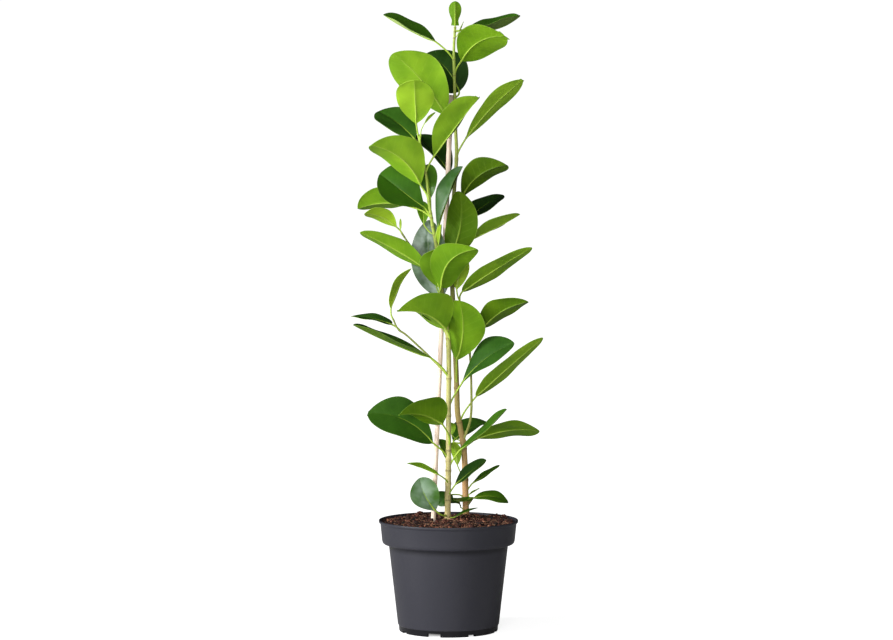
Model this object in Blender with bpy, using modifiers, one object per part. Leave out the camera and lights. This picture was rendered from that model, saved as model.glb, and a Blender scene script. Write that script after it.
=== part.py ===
"""Potted small-leaved fig: a plastic nursery pot full of soil, two leafy plants and a support stick.

Lengths are in metres and +Z is up. The front of the plant looks along -Y, and the origin is
the middle of the pot's underside. Profiles and the rows that place the plants are written in
millimetres, because that is how the plant was measured.
"""
import math
from collections import namedtuple

import bmesh
import bpy
from mathutils import Matrix, Vector, noise

MM = 0.001
GAP = 0.35  # between neighbouring pieces, in mm
HOLE_GAP = 0.5  # round the stems and the stick in their holes in the soil, in mm

# Pot: a 17 cm nursery pot. Each profile point is (radius, height) in mm.
POT_STEPS = 36
POT_COLOR = (0.036, 0.036, 0.044)
POT_INSIDE = [(0, 6.5), (54, 6.5), (58.6, 8.8), (70.9, 103.6), (78.6, 109.4), (81.4, 131.4), (82.8, 135.2)]
POT_OUTSIDE = [
    (84.7, 135.4), (85, 134), (84.6, 132.2), (83, 131.5), (80.9, 110.6), (79.8, 108), (77.4, 106),
    (72.6, 103.4), (61.7, 8.2), (60.9, 7.4), (60.4, 0.8), (59.8, 0),
]
POT_UNDERSIDE = [(55.6, 0), (55.2, 4.4), (54.6, 4.8), (16.2, 4.8), (15.6, 4.4), (15, 0), (0, 0)]
FOOT_NOTCHES = [-107, -62, -17, 28, 73, 118, 163, 208]  # degrees round the pot from the front
FOOT_NOTCH_WIDTH = 9
FOOT_NOTCH_HEIGHT = 4.5
FOOT_RING_MIDDLE = 58  # radius of the foot ring's middle
FOOT_RING_CUT = 16  # length of the notch cutters across it
DRAIN_RING_RADIUS = 42
DRAIN_HOLE_RADIUS = 4
DRAIN_HOLE_DEPTH = 10
DRAIN_HOLE_MIDDLE = 6  # height of the drain cutters' middles
DRAIN_HOLE_SIDES = 12

# Soil, which fills the pot to just under its lip
SOIL_COLOR = (0.075, 0.03, 0.018)
SOIL_LEVEL = 131.0
SOIL_RINGS = [13, 26, 39, 51, 62, 71, 77]
SOIL_MOUNDS = [  # x, y, reach, height
    (18, 40, 17, 4.0), (-34, 32, 15, 2.5), (52, 26, 13, 2.5), (-4, 10, 14, 1.5),
]
SOIL_LUMP_HEIGHT = 1.3
SOIL_LUMP_SIZE = 9
SOIL_LUMP_SEED = 3.7
SOIL_EDGE_DROP = 2  # below the level, where the soil meets the pot's wall
SOIL_EDGE_GAP = 0.3  # between the soil and the wall there, in mm
STICK_IN_SOIL = 130  # length of the stick's hole

# Support stick: a straight round stick that leans a little to the right and back
STICK_FOOT = (-22.7, 9.3, 35)
STICK_HEAD = (3.4, 20, 652)
STICK_RADIUS = 3.0
STICK_COLOR = (0.80, 0.60, 0.48)

# Stems and side shoots: centre-line points as (x, y, z, radius) in mm
LEFT_COLOR = (0.13, 0.30, 0.045)
RIGHT_COLOR = (0.11, 0.27, 0.04)
STEM_SIDES = 2  # bevel resolution: 8 sides
SHOOT_SIDES = 1  # 6 sides
LEFT_STEM = [
    (-1.4, 14.4, 85, 3.7), (-1.2, 14.2, 115, 3.8), (-1, 14, 140, 3.8), (0, 12, 207, 3.3), (0, 9, 263, 3.1),
    (0.5, 7, 314, 3.0), (0, 5, 347, 2.9), (-1.5, 4, 363, 2.6), (-8.5, 2, 413, 2.4), (-14.5, -1, 467, 2.1),
    (-19, -2, 492, 2.0), (-24, -4, 524, 1.8), (-26, -5, 546, 1.6), (-30, -6, 572, 1.5), (-34.5, -7, 593, 1.3),
    (-33.5, -7, 604, 1.1),
]
RIGHT_STEM = [
    (22.6, 45.2, 85, 3.9), (22, 44.8, 115, 4.0), (21.5, 44.5, 140, 4.0), (20.5, 41.5, 180, 3.8),
    (19.2, 38.5, 217, 3.6), (15, 36, 242, 3.5), (11.3, 33.5, 262, 3.4), (10.3, 32, 287, 3.3),
    (9, 28, 325, 3.2), (5, 21, 411, 2.9), (3, 15, 481, 2.6), (9.5, 9, 570, 2.2), (8.6, 7, 612, 2.0),
    (7, 5, 676, 1.8), (6.5, 3, 706, 1.6), (8, 2, 734, 1.4),
]
LEFT_SHOOTS = {
    "high": [
        (-10, 1, 424, 1.3), (-22, 1, 438, 1.2), (-36, -2, 456, 1.15), (-48, -7, 472, 1.1),
        (-57, -10, 485, 1.0),
    ],
    "low": [
        (-1, 6, 311, 1.5), (-14, 6, 325, 1.4), (-49, 10, 358, 1.2), (-61, 9, 367, 1.1), (-68, 5, 381, 1.0),
    ],
}
RIGHT_SHOOTS = {
    "side": [
        (17, 37, 226, 1.8), (27, 30, 256, 1.6), (28, 27, 294, 1.5), (26, 22, 338, 1.4), (20, 18, 373, 1.3),
        (13.5, 15, 402, 1.2),
    ],
    "foot": [(21.5, 44, 145, 1.6), (26, 40, 152, 1.4), (30, 35, 158, 1.2)],
}

# Leaves. Each row gives the stem or shoot, the height where the leaf stalk leaves it, and the
# blade's base and tip, in mm. width is across the blade, turn is how far its upper face leans
# to the front (below 0 the underside shows), arch bows the blade to its upper side, fold
# raises both halves from the midrib, sweep bows the midrib to the blade's right, and widest is
# the share of the blade's length, from its base, where it is broadest.
Leaf = namedtuple("Leaf", "stem join base tip width turn arch fold sweep widest",
                  defaults=(46, 0, 5, 15, 0, 0.56))
LEFT_LEAVES = [
    Leaf("main", 592, (-39, -10, 617), (-41, -58, 667), width=46, fold=10),
    Leaf("main", 603, (-29, -8, 617), (-16, -10, 630), width=7, fold=40, arch=0),
    Leaf("main", 557, (-18, -8, 577), (36, -44, 647), width=58, turn=-4, fold=28, arch=1, widest=0.62),
    Leaf("main", 586, (-41, -4, 598), (-86, 44, 633), width=44, turn=25, fold=12, arch=3, sweep=2),
    Leaf("main", 523, (-34, -10, 543), (-92, -54, 590), width=58, turn=-33, fold=25, sweep=-9),
    Leaf("main", 492, (-28, -2, 514), (-83, -4, 556), width=60, turn=60, sweep=-3, widest=0.68),
    Leaf("main", 508, (-22, 6, 527), (-25, 22, 568), width=24, turn=20),
    Leaf("main", 503, (-52, 6, 518), (-111, 24, 514), width=44, turn=-35, fold=20, arch=6),
    Leaf("high", 483, (-63, -11, 492), (-100, -33, 509), width=28, turn=-30),
    Leaf("high", 480, (-58, -10, 488), (-58, -12, 502), width=3, arch=0, fold=0),
    Leaf("main", 482, (-30, 5, 495), (-34, 25, 523), width=16),
    Leaf("main", 423, (-27, -6, 441), (-106, -36, 486), width=38, turn=-24, arch=3, widest=0.5),
    Leaf("main", 400, (-10, 6, 407), (-24, 12, 500), width=46, turn=70, arch=2, fold=6, sweep=-6,
         widest=0.48),
    Leaf("main", 466, (-12, -8, 471), (-9, -12, 495), width=8, fold=35, arch=0),
    Leaf("main", 474, (-13, -5, 490), (17, -9, 565), width=42, turn=40, fold=25, sweep=5, widest=0.62),
    Leaf("main", 411, (-9, -10, 419), (34, -52, 466), width=46, turn=-40, sweep=13, widest=0.42),
    Leaf("main", 348, (-3, -4, 368), (-61, -40, 391), width=68, turn=-30, fold=33, sweep=-8, widest=0.33),
    Leaf("main", 356, (-12, 8, 376), (-40, 10, 405), width=26, turn=65),
    Leaf("low", 378, (-70, 3, 393), (-45, -18, 442), width=29, turn=15, sweep=-4),
    Leaf("low", 366, (-69, 9, 373), (-119, 26, 382), width=30, turn=10, fold=8, arch=3, widest=0.42),
    Leaf("main", 307, (-21, -4, 333), (-115, -22, 374), width=42, turn=-5, fold=22, arch=-2),
    Leaf("main", 262, (16, 8, 301), (80, 0, 351), width=48, turn=40, sweep=-4, widest=0.68),
    Leaf("main", 208, (-19, 3, 229), (-98, -12, 266), width=54, turn=60, arch=4, fold=8, sweep=11),
    Leaf("main", 219, (-7, -7, 252), (-59, -47, 267), width=54, turn=-35, fold=30, sweep=-4, widest=0.28),
    Leaf("main", 194, (13, 6, 219), (70, -28, 272), width=36, turn=28, fold=12, arch=-2),
    Leaf("main", 205, (-3, 20, 208), (-12, 32, 231), width=17),
    Leaf("main", 158, (8, 8, 177), (46, 4, 208), width=26, turn=30, arch=1),
    Leaf("main", 139, (-16, -2, 147), (-35, 4, 186), width=36, turn=65, fold=10, sweep=-4),
    Leaf("main", 178, (-12, -4, 191), (-50, -16, 206), width=24, turn=-12, fold=12, arch=1),
    Leaf("main", 137, (7, 11, 137), (36, 25, 147), width=10, arch=1),
    Leaf("main", 414, (-11, -4, 418), (4, -22, 468), width=44, turn=-15, fold=10, sweep=10),
]
RIGHT_LEAVES = [
    Leaf("main", 733, (8, 2, 735), (8, -6, 764), width=17, fold=35, arch=0),
    Leaf("main", 720, (11, 1, 727), (18, 0, 739), width=4, fold=0, arch=0),
    Leaf("main", 694, (-16, 0, 716), (-79, 12, 749), width=40, turn=4, fold=22, arch=-2),
    Leaf("main", 675, (16, 1, 693), (61, -48, 730), width=50, turn=-35, fold=12, sweep=10, widest=0.65),
    Leaf("main", 728, (22, 4, 731), (87, 24, 748), width=44, turn=5, fold=32, arch=-8),
    Leaf("main", 648, (13, 14, 656), (-28, 58, 705), width=52, turn=50, sweep=6),
    Leaf("main", 612, (-4, 2, 628), (-66, -34, 700), width=58, turn=-35, widest=0.6),
    Leaf("main", 574, (21, 6, 599), (89, -19, 669), width=34, turn=-18, widest=0.6),
    Leaf("main", 551, (1, 28, 557), (-41, 70, 604), width=44, turn=8, fold=25),
    Leaf("main", 441, (3, 9, 457), (13, -22, 535), width=42, turn=-35, sweep=-6, widest=0.45),
    Leaf("main", 515, (16, 6, 527), (69, -34, 567), width=46, turn=-27, sweep=8, widest=0.65),
    Leaf("main", 495, (20, 22, 499), (66, 62, 531), width=40, turn=8, fold=8, arch=2),
    Leaf("main", 463, (22, 20, 474), (87, 14, 507), width=42, turn=-15, arch=-1),
    Leaf("side", 402, (17, 14, 413), (101, -12, 467), width=36, turn=-22, arch=2, widest=0.45),
    Leaf("side", 402, (10, 9, 416), (15, 1, 460), width=24, turn=-40),
    Leaf("main", 294, (10, 16, 329), (13, -18, 403), width=54, turn=-25, fold=20, sweep=-5),
    Leaf("side", 338, (42, 16, 369), (96, -15, 402), width=42, turn=-26, sweep=3, widest=0.42),
    Leaf("main", 251, (34, 27, 284), (115, 8, 357), width=36, turn=-20, arch=1, widest=0.45),
    Leaf("main", 219, (37, 33, 232), (111, 12, 243), width=48, turn=-28, arch=6, fold=3),
    Leaf("main", 225, (6, 48, 227), (48, 80, 248), width=44, turn=8),
    Leaf("main", 228, (4, 34, 236), (0, 28, 252), width=10),
    Leaf("main", 180, (11, 30, 199), (5, 22, 228), width=14, turn=-20),
    Leaf("main", 158, (29, 42, 175), (63, 52, 197), width=24, fold=5, arch=0),
    Leaf("foot", 154, (25, 38, 162), (38, 34, 170), width=10, arch=0),
    Leaf("foot", 158, (31, 34, 158), (74, 40, 152), width=26, turn=25, arch=6, fold=5),
    Leaf("foot", 158, (29, 33, 159), (7, 10, 158), width=18, turn=10, arch=-3),
    Leaf("main", 156, (4, 36, 162), (-12, 26, 149), width=24, turn=40),
    Leaf("main", 141, (15, 39, 146), (3, 34, 152), width=12, turn=30),
]

# Leaf blades and stalks
BLADE_CELLS_ACROSS = 4
BLADE_CELLS_ALONG = 6
BLADE_THICKNESS = 0.8
BLADE_BASE_WIDTH = 3.4
BLADE_TIP_WIDTH = 1.2
BLADE_ROUNDNESS = 0.62
SMALL_LEAF = 25  # leaves narrower than this have half the cells
NARROW_LEAF = 30  # leaves narrower than this have narrower ends too
BLADE_WAVE = 0.06  # height of the edge's waves, as a share of the half width
WAVES_ALONG = 9  # radians of wave along a blade
WAVES_ACROSS = 2
PHASE_STEP = 1.7  # from one leaf's waves to the next leaf's
STALK_RADIUS = 1.1
STALK_FOOT_FLARE = 1.25
STALK_END_TAPER = 0.55
STALK_SUNK = 0.2  # mm that a stalk lies under the base of its blade
STALK_BEND_AT = 0.55  # share of the way from the stem to the blade
STALK_BEND = 0.16  # drop of the bend, as a share of the stalk's length
STALK_UNDER_BLADE = 0.12  # share of the blade's length that the stalk runs on under it


def clear_scene():
    for item in list(bpy.data.objects):
        bpy.data.objects.remove(item, do_unlink=True)


def new_collection(name):
    collection = bpy.data.collections.new(name)
    bpy.context.scene.collection.children.link(collection)
    return collection


def plain_material(name, color, roughness):
    material = bpy.data.materials.new(name)
    material.use_nodes = True
    shader = material.node_tree.nodes["Principled BSDF"]
    shader.inputs["Base Color"].default_value = (*color, 1.0)
    shader.inputs["Roughness"].default_value = roughness
    shader.inputs["Metallic"].default_value = 0.0
    return material


def add_object(name, data, collection):
    item = bpy.data.objects.new(name, data)
    collection.objects.link(item)
    return item


def baked_mesh(item):
    """The object's evaluated mesh in world space, with the loose ends of its caps welded."""
    bpy.context.view_layer.update()
    graph = bpy.context.evaluated_depsgraph_get()
    mesh = bpy.data.meshes.new_from_object(item.evaluated_get(graph))
    mesh.transform(item.matrix_world)
    bm = bmesh.new()
    bm.from_mesh(mesh)
    bmesh.ops.remove_doubles(bm, verts=bm.verts, dist=0.00001)
    bm.to_mesh(mesh)
    bm.free()
    return mesh


def bake_in_place(item):
    """Swap an object for its own finished mesh, with no modifiers left."""
    mesh = baked_mesh(item)
    item.modifiers.clear()
    item.data = mesh
    item.matrix_world = Matrix.Identity(4)
    return item


def smooth_path(points, per_span=2):
    """Catmull-Rom points through (x, y, z, radius) rows."""
    rows = [Vector(p) for p in points]
    rows = [2 * rows[0] - rows[1]] + rows + [2 * rows[-1] - rows[-2]]
    path = []
    for a, b, c, d in zip(rows, rows[1:], rows[2:], rows[3:]):
        for step in range(per_span):
            t = step / per_span
            path.append(0.5 * (2 * b + (c - a) * t + (2 * a - 5 * b + 4 * c - d) * t**2
                               + (3 * b - 3 * c + d - a) * t**3))
    path.append(rows[-2])
    return path


def tube(name, points, collection, sides=SHOOT_SIDES, extra_radius=0.0):
    """A round closed tube along (x, y, z, radius) points in mm, as a mesh object."""
    curve = bpy.data.curves.new(name, "CURVE")
    curve.dimensions = "3D"
    curve.bevel_depth = MM
    curve.bevel_resolution = sides
    curve.use_fill_caps = True
    spline = curve.splines.new("POLY")
    spline.points.add(len(points) - 1)
    for target, (x, y, z, radius) in zip(spline.points, points):
        target.co = (x * MM, y * MM, z * MM, 1.0)
        target.radius = radius + extra_radius
    guide = add_object(name + "_guide", curve, collection)
    mesh = baked_mesh(guide)
    bpy.data.objects.remove(guide, do_unlink=True)
    return add_object(name, mesh, collection)


def turned(name, profile, collection):
    """A solid of revolution from (radius, height) points in mm, outer side top to bottom."""
    mesh = bpy.data.meshes.new(name)
    edges = [(i, i + 1) for i in range(len(profile) - 1)]
    mesh.from_pydata([(r * MM, 0, z * MM) for r, z in profile], edges, [])
    item = add_object(name, mesh, collection)
    screw = item.modifiers.new("Turn", "SCREW")
    screw.steps = POT_STEPS
    screw.render_steps = POT_STEPS
    screw.use_merge_vertices = True
    screw.merge_threshold = 0.00001
    return bake_in_place(item)


def cut(item, cutter):
    boolean = item.modifiers.new("Cut " + cutter.name, "BOOLEAN")
    boolean.operation = "DIFFERENCE"
    boolean.object = cutter
    boolean.solver = "EXACT"
    cutter.hide_render = True
    cutter.display_type = "WIRE"


def paint(item, material, smooth_angle=40):
    item.data.materials.clear()
    item.data.materials.append(material)
    item.data.shade_smooth()
    item.data.set_sharp_from_angle(angle=math.radians(smooth_angle))


def make_pot(parts, cutters):
    pot = turned("pot", POT_INSIDE + POT_OUTSIDE + POT_UNDERSIDE, parts)
    drains = bmesh.new()
    for angle in FOOT_NOTCHES:
        turn = Matrix.Rotation(math.radians(angle), 4, "Z")
        size = Matrix.Diagonal((FOOT_NOTCH_WIDTH * MM, FOOT_RING_CUT * MM, 2 * FOOT_NOTCH_HEIGHT * MM, 1))
        place = Matrix.Translation((0, -FOOT_RING_MIDDLE * MM, 0))
        bmesh.ops.create_cube(drains, size=1, matrix=turn @ place @ size)
        place = Matrix.Translation((0, -DRAIN_RING_RADIUS * MM, DRAIN_HOLE_MIDDLE * MM))
        bmesh.ops.create_cone(
            drains, cap_ends=True, segments=DRAIN_HOLE_SIDES, radius1=DRAIN_HOLE_RADIUS * MM,
            radius2=DRAIN_HOLE_RADIUS * MM, depth=DRAIN_HOLE_DEPTH * MM, matrix=turn @ place,
        )
    mesh = bpy.data.meshes.new("drain_cutter")
    drains.to_mesh(mesh)
    drains.free()
    cut(pot, add_object("drain_cutter", mesh, cutters))
    bake_in_place(pot)
    paint(pot, plain_material("pot_plastic", POT_COLOR, 0.45), 30)
    return pot


def soil_height(x, y):
    """Height of the soil's surface in mm at a place, from a few soft mounds and small lumps."""
    height = SOIL_LEVEL
    for mound_x, mound_y, reach, rise in SOIL_MOUNDS:
        height += rise * math.exp(-((x - mound_x) ** 2 + (y - mound_y) ** 2) / reach**2)
    place = Vector((x / SOIL_LUMP_SIZE, y / SOIL_LUMP_SIZE, SOIL_LUMP_SEED))
    height += SOIL_LUMP_HEIGHT * noise.noise(place)
    return height


def make_soil(parts, cutters):
    inside = [(r - GAP, z) for r, z in POT_INSIDE]
    floor_edge, wall_foot, wall_top, band_foot, band_top = inside[1:6]
    top = [(0, SOIL_LEVEL)] + [(r, SOIL_LEVEL) for r in SOIL_RINGS]
    side = [(band_top[0] - SOIL_EDGE_GAP, SOIL_LEVEL - SOIL_EDGE_DROP)]
    side += [(r, z + GAP) for r, z in (band_foot, wall_top, wall_foot, floor_edge)]
    side += [(0, floor_edge[1] + GAP)]
    soil = turned("soil", top + side, parts)
    for vert in soil.data.vertices:
        if vert.co.z > (SOIL_LEVEL - 1) * MM:
            vert.co.z = soil_height(vert.co.x / MM, vert.co.y / MM) * MM
    for name, points in (("left_stem_hole", LEFT_STEM[:3]), ("right_stem_hole", RIGHT_STEM[:3])):
        foot = Vector(points[0]) + Vector((0, 0, -GAP, 0))
        above = Vector(points[1]).lerp(Vector(points[2]), 1.2)
        cut(soil, tube(name, [foot, *points[1:], above], cutters, STEM_SIDES, HOLE_GAP))
    foot, head = Vector(STICK_FOOT), Vector(STICK_HEAD)
    lean = (head - foot).normalized()
    ends = [foot - lean * GAP, foot + lean * STICK_IN_SOIL]
    cut(soil, tube("stick_hole", [(*p, STICK_RADIUS) for p in ends], cutters, STEM_SIDES, HOLE_GAP))
    bake_in_place(soil)
    paint(soil, plain_material("potting_soil", SOIL_COLOR, 0.95), 50)
    return soil


def make_stick(parts):
    foot, head = Vector(STICK_FOOT), Vector(STICK_HEAD)
    lean = (head - foot).normalized()
    ends = [(foot, 0.6), (foot + lean * 6, 1.0), (head - lean * 0.8, 1.0), (head, 0.75)]
    points = [(*place, STICK_RADIUS * share) for place, share in ends]
    stick = tube("support_stick", points, parts, STEM_SIDES)
    paint(stick, plain_material("pale_wood", STICK_COLOR, 0.7))
    return stick


def place_at_height(points, height):
    """The centre-line point of a stem at a height, between its rows."""
    for low, high in zip(points, points[1:]):
        if height <= high[2]:
            break
    t = (height - low[2]) / (high[2] - low[2])
    return Vector(low[:3]).lerp(Vector(high[:3]), max(0.0, min(1.0, t)))


def blade_frame(leaf):
    """Directions along the blade, to its right side and out of its upper face, and its length."""
    base, tip = Vector(leaf.base), Vector(leaf.tip)
    along = (tip - base).normalized()
    upper = (Vector((0, 0, 1)) - along * along.z).normalized()
    across = along.cross(upper)
    front = across if across.y < 0 else -across
    turn = math.radians(leaf.turn)
    upper = (upper * math.cos(turn) + front * math.sin(turn)).normalized()
    return along, along.cross(upper), upper, (tip - base).length


def half_width(leaf, v):
    """Half the blade's width in mm at share v of its length."""
    shifted = v ** (math.log(0.5) / math.log(leaf.widest))
    curve = (4 * shifted * (1 - shifted)) ** BLADE_ROUNDNESS if 0 < v < 1 else 0.0
    smallest = (BLADE_BASE_WIDTH * (1 - v) + BLADE_TIP_WIDTH * v) * min(1.0, leaf.width / NARROW_LEAF) / 2
    return max(leaf.width / 2 * curve, smallest)


def blade_point(leaf, frame, u, v, phase):
    """A point of the blade's middle surface in mm; u runs -1 to 1 across, v 0 to 1 along."""
    along, right, upper, length = frame
    half = half_width(leaf, v)
    bow = 4 * v * (1 - v)
    fold = math.radians(leaf.fold)
    wave = BLADE_WAVE * half * u * u * math.sin(WAVES_ALONG * v + WAVES_ACROSS * u + phase)
    sideways = u * half * math.cos(fold) + leaf.sweep * bow
    height = leaf.arch * bow + abs(u) * half * math.sin(fold) + wave
    return Vector(leaf.base) + along * (length * v) + right * sideways + upper * height


def make_blade(name, leaf, phase, collection):
    frame = blade_frame(leaf)
    bm = bmesh.new()
    small = leaf.width < SMALL_LEAF
    cells_across = BLADE_CELLS_ACROSS // 2 if small else BLADE_CELLS_ACROSS
    cells_along = BLADE_CELLS_ALONG // 2 if small else BLADE_CELLS_ALONG
    bmesh.ops.create_grid(bm, x_segments=cells_across, y_segments=cells_along, size=1)
    for vert in bm.verts:
        u, t = vert.co.x, (vert.co.y + 1) / 2
        v = (1 - math.cos(math.pi * t)) / 2
        vert.co = blade_point(leaf, frame, u, v, phase) * MM
    bmesh.ops.triangulate(bm, faces=bm.faces)
    bmesh.ops.solidify(bm, geom=bm.faces, thickness=BLADE_THICKNESS * MM)
    bmesh.ops.recalc_face_normals(bm, faces=bm.faces)
    mesh = bpy.data.meshes.new(name)
    bm.to_mesh(mesh)
    bm.free()
    return add_object(name, mesh, collection)


def make_stalk(name, leaf, phase, start, collection):
    """The leaf stalk, from the stem's centre line to a little way along under the blade."""
    frame = blade_frame(leaf)
    along, upper = frame[0], frame[2]
    base = Vector(leaf.base)
    reach = (base - start).length
    radius = STALK_RADIUS * min(1.0, 0.45 + leaf.width / 60)
    middle = start.lerp(base, STALK_BEND_AT) - along * (STALK_BEND * reach)
    under = blade_point(leaf, frame, 0, STALK_UNDER_BLADE, phase) - upper * (0.3 * radius)
    ends = [
        (start, STALK_FOOT_FLARE), (middle, 1), (base - upper * STALK_SUNK, 1), (under, STALK_END_TAPER),
    ]
    return tube(name, [(*place, share * radius) for place, share in ends], collection)


def make_plant(name, stem, shoots, leaves, material, parts):
    """One plant as one solid: its stem, with shoots, stalks and blades fused to it."""
    pieces = new_collection(name + "_pieces")
    plant = tube(name, smooth_path(stem), parts, STEM_SIDES)
    lines = {"main": stem, **shoots}
    for key, points in shoots.items():
        tube(f"{name}_{key}_shoot", smooth_path(points), pieces)
    for index, leaf in enumerate(leaves):
        phase = PHASE_STEP * index
        make_blade(f"{name}_blade_{index}", leaf, phase, pieces)
        start = place_at_height(lines[leaf.stem], leaf.join)
        make_stalk(f"{name}_stalk_{index}", leaf, phase, start, pieces)
    union = plant.modifiers.new("Fuse", "BOOLEAN")
    union.operation = "UNION"
    union.operand_type = "COLLECTION"
    union.collection = pieces
    union.solver = "MANIFOLD"
    bake_in_place(plant)
    for piece in list(pieces.objects):
        bpy.data.objects.remove(piece, do_unlink=True)
    bpy.data.collections.remove(pieces)
    paint(plant, material)
    return plant


def main():
    clear_scene()
    parts = new_collection("potted_fig")
    cutters = new_collection("cutters")
    make_pot(parts, cutters)
    make_soil(parts, cutters)
    make_stick(parts)
    left_green = plain_material("left_plant_green", LEFT_COLOR, 0.35)
    right_green = plain_material("right_plant_green", RIGHT_COLOR, 0.35)
    make_plant("left_plant", LEFT_STEM, LEFT_SHOOTS, LEFT_LEAVES, left_green, parts)
    make_plant("right_plant", RIGHT_STEM, RIGHT_SHOOTS, RIGHT_LEAVES, right_green, parts)


main()
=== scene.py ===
import math
import random
from types import SimpleNamespace

import bmesh
import bpy
from mathutils import Matrix, Vector, noise


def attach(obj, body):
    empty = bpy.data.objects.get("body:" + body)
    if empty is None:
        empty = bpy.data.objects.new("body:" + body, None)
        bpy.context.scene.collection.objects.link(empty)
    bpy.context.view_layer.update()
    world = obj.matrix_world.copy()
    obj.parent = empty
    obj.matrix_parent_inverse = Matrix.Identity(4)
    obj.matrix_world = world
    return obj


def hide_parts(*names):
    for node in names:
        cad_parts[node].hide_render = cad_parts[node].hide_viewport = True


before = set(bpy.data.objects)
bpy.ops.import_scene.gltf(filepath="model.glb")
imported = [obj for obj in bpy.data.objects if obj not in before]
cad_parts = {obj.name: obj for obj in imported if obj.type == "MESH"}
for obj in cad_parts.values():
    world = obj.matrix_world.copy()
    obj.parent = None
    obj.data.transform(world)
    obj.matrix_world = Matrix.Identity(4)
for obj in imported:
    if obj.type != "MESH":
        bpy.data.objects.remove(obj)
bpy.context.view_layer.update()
print("frame loaded")

mm = 0.001  # sizes and places below are in mm, as the plant was measured


# General helpers

def addNode(tree, kind, inputs=None, **settings):
    node = tree.nodes.new(kind)
    for name, value in settings.items():
        setattr(node, name, value)
    for name, value in (inputs or {}).items():
        if isinstance(value, bpy.types.NodeSocket):
            tree.links.new(value, node.inputs[name])
        else:
            node.inputs[name].default_value = value
    return node


def calc(tree, operation, first, second=0.0, clamp=False):
    node = addNode(tree, "ShaderNodeMath", {0: first, 1: second}, operation=operation, use_clamp=clamp)
    return node.outputs[0]


def product(tree, first, second):
    return calc(tree, "MULTIPLY", first, second)


def smoothMask(tree, value, low, high):
    # 0 below low and 1 above high; low may be the larger one
    node = addNode(tree, "ShaderNodeMapRange", {"Value": value, "From Min": low, "From Max": high},
                   interpolation_type="SMOOTHSTEP")
    return node.outputs["Result"]


def spread(tree, value, low, high, fromLow=0.0, fromHigh=1.0):
    node = addNode(tree, "ShaderNodeMapRange", {
        "Value": value, "From Min": fromLow, "From Max": fromHigh, "To Min": low, "To Max": high,
    })
    return node.outputs["Result"]


def mixColor(tree, share, first, second, blend="MIX"):
    node = tree.nodes.new("ShaderNodeMix")
    node.data_type = "RGBA"
    node.blend_type = blend
    for socket, value in zip((node.inputs["Factor"], node.inputs[6], node.inputs[7]), (share, first, second)):
        if isinstance(value, bpy.types.NodeSocket):
            tree.links.new(value, socket)
        else:
            socket.default_value = (*value, 1) if isinstance(value, tuple) else value
    return node.outputs[2]


def ramp(tree, value, stops):
    node = addNode(tree, "ShaderNodeValToRGB", {"Fac": value})
    band = node.color_ramp
    while len(band.elements) < len(stops):
        band.elements.new(0.5)
    for element, (position, color) in zip(band.elements, stops):
        element.position = position
        element.color = (*color, 1)
    return node.outputs["Color"]


def objectPlace(tree):
    return addNode(tree, "ShaderNodeTexCoord").outputs["Object"]


def objectHeight(tree):
    return addNode(tree, "ShaderNodeSeparateXYZ", {"Vector": objectPlace(tree)}).outputs["Z"]


def noiseAt(tree, scale, detail=3.0, rough=0.5, stretch=(1, 1, 1)):
    # noise on the object's own coordinates, scale in waves per metre
    place = objectPlace(tree)
    place = addNode(tree, "ShaderNodeMapping", {"Vector": place, "Scale": stretch}).outputs["Vector"]
    node = addNode(tree, "ShaderNodeTexNoise",
                   {"Vector": place, "Scale": scale, "Detail": detail, "Roughness": rough})
    return node.outputs["Fac"]


def attribute(tree, name):
    return addNode(tree, "ShaderNodeAttribute", attribute_name=name).outputs["Fac"]


def newMaterial(name, **sockets):
    made = bpy.data.materials.new(name)
    made.use_nodes = True
    shader = made.node_tree.nodes["Principled BSDF"]
    for socket, value in sockets.items():
        shader.inputs[socket.replace("_", " ")].default_value = value
    return made, made.node_tree, shader


def bump(tree, shader, height, distance, strength=1.0):
    node = addNode(tree, "ShaderNodeBump", {"Height": height, "Distance": distance, "Strength": strength})
    tree.links.new(node.outputs["Normal"], shader.inputs["Normal"])


def linkObject(name, data):
    made = bpy.data.objects.new(name, data)
    bpy.context.scene.collection.objects.link(made)
    return made


def meshObject(name, bm):
    mesh = bpy.data.meshes.new(name)
    bm.to_mesh(mesh)
    bm.free()
    return linkObject(name, mesh)


def finishPiece(name, bm, materials, replaced=(), sharpAngle=40):
    piece = meshObject(name, bm)
    mesh = piece.data
    for item in materials:
        mesh.materials.append(item)
    mesh.shade_smooth()
    mesh.set_sharp_from_angle(angle=math.radians(sharpAngle))
    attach(piece, "root")
    if replaced:
        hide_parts(*replaced)
    print(name, "made with", len(mesh.polygons), "faces")
    return piece


def mergeInto(target, source):
    mesh = bpy.data.meshes.new("part")
    source.to_mesh(mesh)
    source.free()
    target.from_mesh(mesh)
    bpy.data.meshes.remove(mesh)


def profileLine(points):
    # one open line of (radius, height) points in mm
    bm = bmesh.new()
    verts = [bm.verts.new((r * mm, 0, z * mm)) for r, z in points]
    for pair in zip(verts, verts[1:]):
        bm.edges.new(pair)
    return bm


def spinRound(bm, steps, weld):
    bmesh.ops.spin(bm, geom=list(bm.verts) + list(bm.edges), cent=(0, 0, 0), axis=(0, 0, 1),
                   angle=math.tau, steps=steps, use_merge=True)
    bmesh.ops.remove_doubles(bm, verts=bm.verts, dist=weld * mm)


def curvePoint(rows, index, t):
    # Catmull-Rom between rows[index] and the next row
    last = len(rows) - 1
    b, c = rows[index], rows[index + 1]
    a = rows[index - 1] if index else 2 * b - c
    d = rows[index + 2] if index + 2 <= last else 2 * c - b
    return 0.5 * (2 * b + (c - a) * t + (2 * a - 5 * b + 4 * c - d) * t**2 + (3 * b - 3 * c + d - a) * t**3)


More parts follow.
